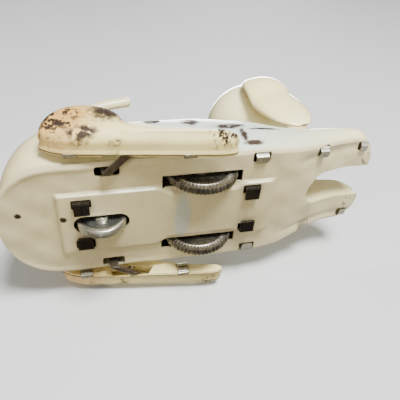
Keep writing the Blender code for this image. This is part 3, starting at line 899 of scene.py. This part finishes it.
leg = {
    "rings": [
        (26.2, 0.0, 1), (26.6, 0.0, 1), (27.1, 0.32, 1), (27.8, 0.4, 1), (29.2, 0.3, 1), (30.0, 0.35, 1),
        (30.8, 0.55, 0.99), (31.5, 0.9, 0.97), (32.1, 1.35, 0.93), (32.6, 1.9, 0.86), (33.0, 2.6, 0.75),
        (33.25, 3.4, 0.6), (33.4, 4.6, 0.42), (33.45, 6.5, 0.2),
    ],
    "hollow": [(24.0, 0.7, 1), (29.6, 1.1, 1), (30.6, 1.5, 0.95)],
}


def legRings(side, steps, n=72):
    return [[(side * x, y, z) for y, z in legOutline(inset, share, n)] for x, inset, share in steps]


for side, tag, paint in ((1, "left", paintLegLeft), (-1, "right", paintLegRight)):
    outer = loft(tag + "Leg", legRings(side, leg["rings"]))
    # swollen haunch, toes pressed in at the front end, a dent along the shin
    for v in outer.data.vertices:
        y, z = v.co.y / milli, v.co.z / milli
        x = abs(v.co.x) / milli
        if x > 31.0:
            toe = 0.0
            for k in range(3):
                toe -= 0.6 * math.exp(-((z - (1.7 + 1.5 * k)) / 0.4) ** 2) * smooth(-1.5, -5.5, y)
            shin = -0.35 * math.exp(-((y - 14) / 9.0) ** 2) * smooth(5.0, 8.5, z)
            v.co.x = side * (x + (toe + shin) * smooth(31.0, 32.6, x)) * milli
    cut(outer, loft("hollow", legRings(side, leg["hollow"], 30)))
    smoothByAngle(outer, 55)
    dress(outer, paint, tag + "_leg", [tag + "_leg_outer"])
    for k, (y, where) in enumerate(((40.0, -1), (6.0, -1), (6.0, 1), (33.0, 1))):
        z = legBottom(y) + 0.2 if where < 0 else legTop(y) - 0.2
        rings = []
        for t in range(9):
            u = t / 8
            x = 26.4 - 1.75 * smooth(0, 0.5, u)
            zz = z - where * 2.7 * smooth(0.3, 1.0, u)
            nrm = Vector((1, 0, 0)) * smooth(0.1, 0.6, u) + Vector((0, 0, where)) * (
                1 - smooth(0.1, 0.6, u)
            )
            nrm.normalize()
            c = Vector((side * x, y, zz))
            nrm.x *= side
            h = Vector((0, 2.0 - 0.25 * smooth(0.8, 1, u), 0))
            rings.append([c - h - nrm * 0.22, c + h - nrm * 0.22, c + h + nrm * 0.22, c - h + nrm * 0.22])
        tab = loft("%sLegTab%d" % (tag, k), rings)
        tab.data.shade_flat()
        soften(tab, 0.12, 2, 30)
        dress(tab, brightTin, tag + "_leg")
print("legs made")


# head: celluloid ball with a short muzzle, painted face, hanging ears
head = {
    "centre": Vector((0, -33, 57)), "radius": 18.62, "muzzle": Vector((0, -46, 50.5)),
    "muzzleSize": Vector((8.6, 11.0, 7.6)),
}


def headField(p):
    c = np.array(head["centre"])
    ball = np.linalg.norm(p - c, axis=1) - head["radius"]
    size = np.array(head["muzzleSize"])
    q = (p - np.array(head["muzzle"])) / size
    lump = (np.linalg.norm(q, axis=1) - 1.0) * size.min()
    k = 2.6
    h = np.clip(0.5 + 0.5 * (lump - ball) / k, 0, 1)
    field = lump * (1 - h) + ball * h - k * h * (1 - h)
    nose = np.linalg.norm((p - np.array((0, -56.4, 53.6))) / np.array((2.3, 1.5, 1.7)), axis=1) * 1.5 - 1.5
    h = np.clip(0.5 + 0.5 * (nose - field) / 0.6, 0, 1)
    field = nose * (1 - h) + field * h - 0.6 * h * (1 - h)
    for side in (1, -1):
        # brow and cheek swell, eye socket pressed in
        eye = np.linalg.norm((p - np.array((side * 6.6, -49.8, 61.5))) / np.array((3.0, 2.4, 3.4)), axis=1)
        field += 0.55 * np.exp(-(eye ** 2))
        lid = np.linalg.norm((p - np.array((side * 6.6, -49.6, 61.3))) / np.array((1.9, 1.8, 2.3)), axis=1)
        field -= 0.75 * np.exp(-(lid ** 2))
    mouth = np.exp(
        -((p[:, 2] - 48.6 + 0.02 * p[:, 0] ** 2) / 0.5) ** 2
    ) * np.exp(-(p[:, 0] / 6.5) ** 4) * (p[:, 1] < -50)
    field += 0.5 * mouth
    # mould seam over the top of the head
    return field - 0.10 * np.exp(-(p[:, 0] / 0.22) ** 2)


bm = bmesh.new()
bmesh.ops.create_icosphere(bm, subdivisions=6, radius=1.0)
dirs = np.array([v.co.normalized() for v in bm.verts])
low, high = np.full(len(dirs), 12.0), np.full(len(dirs), 32.0)
for step in range(26):
    mid = (low + high) / 2
    inside = headField(np.array(head["centre"]) + dirs * mid[:, None]) < 0
    low, high = np.where(inside, mid, low), np.where(inside, high, mid)
for v, d, r in zip(bm.verts, dirs, low):
    v.co = (head["centre"] + Vector(d) * float(r)) * milli
mesh = bpy.data.meshes.new("headBall")
bm.to_mesh(mesh)
bm.free()
mesh.shade_smooth()
ball = bpy.data.objects.new("headBall", mesh)
scene.collection.objects.link(ball)
black = rgb(30, 24, 22)
headLook = {
    "base": rgb(246, 236, 184), "second": rgb(240, 226, 166),
    "tints": [
        {
            "at": (0, -0.047, 0.0475), "size": (0.008, 0.010, 0.004), "colour": rgb(214, 176, 118),
            "amount": 0.5, "feather": 0.6,
        },
        {"at": (0, -0.0568, 0.0537), "size": (0.0024, 0.0018, 0.0019), "colour": black, "amount": 0.97},
        {"at": (0.0066, -0.0502, 0.0613), "size": (0.0019, 0.004, 0.0024), "colour": black, "amount": 0.97},
        {
            "at": (-0.0066, -0.0502, 0.0613), "size": (0.0019, 0.004, 0.0024), "colour": black,
            "amount": 0.97,
        },
        # painted highlights: cream glints in both eyes, shifted the same way towards the lit side
        {"at": (0.0060, -0.0520, 0.0622), "size": (0.0006, 0.004, 0.0007), "colour": cream, "amount": 0.95},
        {
            "at": (-0.0072, -0.0520, 0.0622), "size": (0.0006, 0.004, 0.0007), "colour": cream,
            "amount": 0.95,
        },
        {
            "at": (0, -0.0556, 0.0482), "size": (0.0045, 0.004, 0.0005), "colour": rgb(150, 52, 44),
            "amount": 0.9,
        },
    ],
}
ivory = celluloid("ivoryHead", headLook)
dress(ball, ivory, "head", ["head_shell"])

earLook = {"base": rgb(246, 234, 180), "second": rgb(238, 222, 160)}
earIvory = celluloid("ivoryEar", earLook)


def earMesh(name, side, n=48, steps=44):
    root, tip = Vector((side * 18.5, -31.0, 62.0)), Vector((side * 19.5, -40.5, 25.0))
    along = tip - root
    wide = Vector((0, along.z, -along.y)).normalized()
    thick = along.cross(wide).normalized()
    rings = []
    for i in range(steps + 1):
        t = 0.5 - 0.5 * math.cos(math.pi * i / steps)
        t = min(max(t, 0.006), 0.994)
        girth = math.sqrt(1 - abs(2 * t - 1) ** 2.3)
        half = (8.6 + 1.2 * t) * girth
        depth = (2.3 + 1.3 * math.sin(math.pi * t ** 0.8)) * girth
        c = root + along * t
        off = c - head["centre"]
        reach = (head["radius"] + depth + 0.35) ** 2 - off.y ** 2 - off.z ** 2
        c.x = side * max(abs(c.x), math.sqrt(max(0.0, reach)))
        rings.append(
            [c + wide * half * math.cos(math.tau * j / n) + thick * depth * math.sin(math.tau * j / n)
            for j in range(n)]
        )
    return loft(name, rings)


for side, tag in ((1, "left"), (-1, "right")):
    dress(earMesh(tag + "Ear", side), earIvory, "head", [tag + "_ear"])
print("head made")


# tail: one curved tin tube with a closed, slightly pinched end
tail = {
    "path": [
        (0, 47, 33), (0, 47, 39.8), (0, 47, 40.4), (-0.5, 47, 48.5), (-2.4, 45.2, 55.5), (-4.6, 41.5, 61.5),
        (-6.6, 35.5, 65.6), (-8, 27.5, 68.2), (-8.2, 18.6, 70.2),
    ]
}


def curvePoints(points, per=8):
    pts = [Vector(p) for p in points]
    out = []
    for i in range(len(pts) - 1):
        a, b, c, d = pts[max(0, i - 1)], pts[i], pts[i + 1], pts[min(len(pts) - 1, i + 2)]
        for k in range(per):
            t = k / per
            out.append(
                0.5 * (
                    (2 * b) + (c - a) * t + (
                        2 * a - 5 * b + 4 * c - d
                    ) * t * t + (3 * b - a - 3 * c + d) * t ** 3
                )
            )
    return out + [pts[-1]]


line = curvePoints(tail["path"])
end = (line[-1] - line[-2]).normalized()
line += [line[-1] + end * 0.7, line[-1] + end * 1.25, line[-1] + end * 1.55]
radii = [1.6 if p.z < 40.1 and i < 12 else 2.45 for i, p in enumerate(line)]
radii[-3:] = [2.2, 1.6, 0.6]
dress(sweep("tailTube", line, radii, 28, 0.86), paintBody, "chassis", ["tail"])
print("tail made")


# wheels: knurled tread, ribbed band, dished face and boss, turned about their axles
def turned(name, cy, cz, profile, steps, knurl, xMid):
    rings = []
    for j in range(steps):
        a = math.tau * j / steps
        ring = []
        for x, r, bite, rib in profile:
            rr = r - bite * (0.5 + 0.5 * math.cos(knurl * a))
            xx = x + rib * (0.5 + 0.5 * math.cos(knurl * a)) * (1 if x < 0 else -1)
            ring.append((xMid + xx, cy + rr * math.cos(a), cz + rr * math.sin(a)))
        rings.append(ring)
    n = len(profile)
    verts = [p for ring in rings for p in ring]
    faces = []
    for i in range(steps):
        for j in range(n):
            a, b = i * n + j, i * n + (j + 1) % n
            c, d = ((i + 1) % steps) * n + (j + 1) % n, ((i + 1) % steps) * n + j
            faces.append((a, b, c, d))
    return makeMesh(name, verts, faces)


def mirrored(half):
    return half + [(-x, r, bite, rib) for x, r, bite, rib in reversed(half)]


drive = {
    "half": [
        (0.35, 1.05, 0, 0), (1.7, 1.05, 0, 0), (1.75, 2.6, 0, 0), (1.5, 3.0, 0, 0), (0.55, 3.3, 0, 0),
        (0.5, 8.6, 0, 0), (0.62, 8.95, 0, 0), (1.12, 9.1, 0, 0), (1.2, 9.25, 0, 0), (1.12, 9.5, 0, 0),
        (1.0, 9.7, 0, 0.16), (1.0, 11.0, 0, 0.2), (1.12, 11.4, 0.1, 0), (1.15, 11.75, 0.4, 0),
        (0.75, 12.0, 0.55, 0),
    ],
    "teeth": 54,
}
for side, tag in ((1, "left"), (-1, "right")):
    wheel = turned(tag + "Wheel", 0, 12, mirrored(drive["half"]), 54 * 8, drive["teeth"], side * 13.4)
    smoothByAngle(wheel, 38)
    dress(wheel, wheelSteel, "drive_set", [tag + "_drive_wheel"])

small = {
    "half": [
        (0.2, 1.1, 0, 0), (1.9, 1.1, 0, 0), (2.1, 1.5, 0, 0), (1.8, 2.2, 0, 0), (0.9, 2.5, 0, 0),
        (0.85, 5.8, 0, 0), (1.0, 6.15, 0, 0), (1.4, 6.35, 0, 0), (1.5, 6.7, 0, 0), (1.45, 7.5, 0, 0),
        (1.2, 7.85, 0, 0), (0.7, 8.0, 0, 0),
    ]
}
rear = turned("rearWheelDisc", 33, 8, mirrored(small["half"]), 120, 40, 0)
smoothByAngle(rear, 45)
dress(rear, hubSteel, "rear_wheel_set", ["rear_wheel"])
print("wheels made")

# nodes kept from the frame take better finishes
kept = {
    darkSteel: [
        "left_frame_plate", "right_frame_plate", "anchor", "click", "star_wheel", "ratchet_wheel",
        "mainspring",
    ],
    brass: ["great_wheel", "second_wheel", "drive_pinion", "second_pinion", "governor_pinion"],
    brightTin: [
        "frame_pillar_1", "frame_pillar_2", "frame_pillar_3", "neck_cup", "neck_stem", "left_leg_pivot",
        "right_leg_pivot", "winding_arbor",
    ],
    wheelSteel: ["drive_axle", "rear_axle", "second_arbor", "governor_arbor", "left_cam", "right_cam"],
    armSteel: ["left_drive_arm", "right_drive_arm"],
    paintLegRight: ["right_leg_inner"],
    paintLegLeft: ["left_leg_inner"],
}
for mat, names in kept.items():
    for n in names:
        nodes[n].data.materials.clear()
        nodes[n].data.materials.append(mat)
        if n not in ("mainspring",):
            soften(nodes[n], 0.1, 2, 40)
print("kept nodes dressed")


# stage: pale floor under the toy, pale sheet it lies on, soft lights
def paleSheet(name, shade):
    mat = bpy.data.materials.new(name)
    mat.use_nodes = True
    tree = mat.node_tree
    tree.nodes.clear()
    out = tree.nodes.new("ShaderNodeOutputMaterial")
    place = tree.nodes.new("ShaderNodeTexCoord").outputs["Object"]
    tone = mixColour(
        tree, remap(tree, noise(tree, place, 3.0, 4.0, 0.6), 0.3, 0.7), (shade, shade, shade * 0.985, 1),
        (shade * 0.95, shade * 0.95, shade * 0.94, 1),
    )
    top = add(tree, "ShaderNodeBsdfPrincipled", {"Base Color": tone, "Roughness": 0.62})
    bump = add(
        tree, "ShaderNodeBump",
        {"Strength": 0.12, "Distance": 0.0002, "Height": noise(tree, place, 900.0, 3.0, 0.6)},
    )
    tree.links.new(bump.outputs[0], top.inputs["Normal"])
    clear = tree.nodes.new("ShaderNodeBsdfTransparent")
    back = tree.nodes.new("ShaderNodeNewGeometry").outputs["Backfacing"]
    mixed = add(tree, "ShaderNodeMixShader", {0: back, 1: top.outputs[0], 2: clear.outputs[0]})
    tree.links.new(mixed.outputs[0], out.inputs[0])
    return mat


sheetPaint = paleSheet("palePaper", 0.62)
size = 1.6
floorMesh = bpy.data.meshes.new("floor")
floorMesh.from_pydata(
    [(-size, -size, 0), (size, -size, 0), (size, size, 0), (-size, size, 0)], [], [(0, 1, 2, 3)],
)
floor = bpy.data.objects.new("floor", floorMesh)
layMesh = bpy.data.meshes.new("layingSheet")
layX = 0.0340
layMesh.from_pydata(
    [(layX, -size, -size), (layX, size, -size), (layX, size, size), (layX, -size, size)], [],
    [(0, 3, 2, 1)],
)
lay = bpy.data.objects.new("layingSheet", layMesh)
for obj in (floor, lay):
    scene.collection.objects.link(obj)
    obj.data.materials.append(sheetPaint)
    obj.visible_shadow = False
lay.visible_diffuse = False
lay.visible_glossy = False


def softLight(name, place, target, power, size, tone):
    data = bpy.data.lights.new(name, "AREA")
    data.shape = "DISK"
    data.size = size
    data.energy = power
    data.color = tone
    lamp = bpy.data.objects.new(name, data)
    scene.collection.objects.link(lamp)
    lamp.location = place
    lamp.rotation_euler = (Vector(target) - Vector(place)).to_track_quat("-Z", "Y").to_euler()
    return lamp


softLight("keyLight", (-0.60, -0.10, -0.10), (0, 0, 0.02), 11.0, 0.22, (0.96, 0.99, 1.0))
softLight("lowFill", (-0.30, 0.25, -0.45), (0, 0, 0.02), 2.0, 0.4, (1.0, 0.96, 0.88))
softLight("topLight", (0.15, -0.25, 0.75), (0, 0, 0.03), 7.0, 0.45, (1.0, 1.0, 1.0))

world = bpy.data.worlds.new("paleRoom")
scene.world = world
world.use_nodes = True
sky = world.node_tree.nodes["Background"]
sky.inputs[0].default_value = (0.80, 0.80, 0.79, 1)
seen = world.node_tree.nodes.new("ShaderNodeLightPath").outputs["Is Camera Ray"]
world.node_tree.links.new(remap(world.node_tree, seen, 0.0, 1.0, 0.36, 0.70), sky.inputs[1])

camData = bpy.data.cameras.new("mainCamera")
camData.sensor_width = 36.0
camData.lens = 40.4
camData.clip_start = 0.001
camera = bpy.data.objects.new("mainCamera", camData)
scene.collection.objects.link(camera)
camera.matrix_world = Matrix((
    (-0.06601, -0.76616, -0.63926, -0.09905),
    (-0.97280, -0.09315, 0.21209, 0.03230),
    (-0.22204, 0.63587, -0.73917, -0.10203),
    (0, 0, 0, 1),
))
scene.camera = camera
print("stage set")
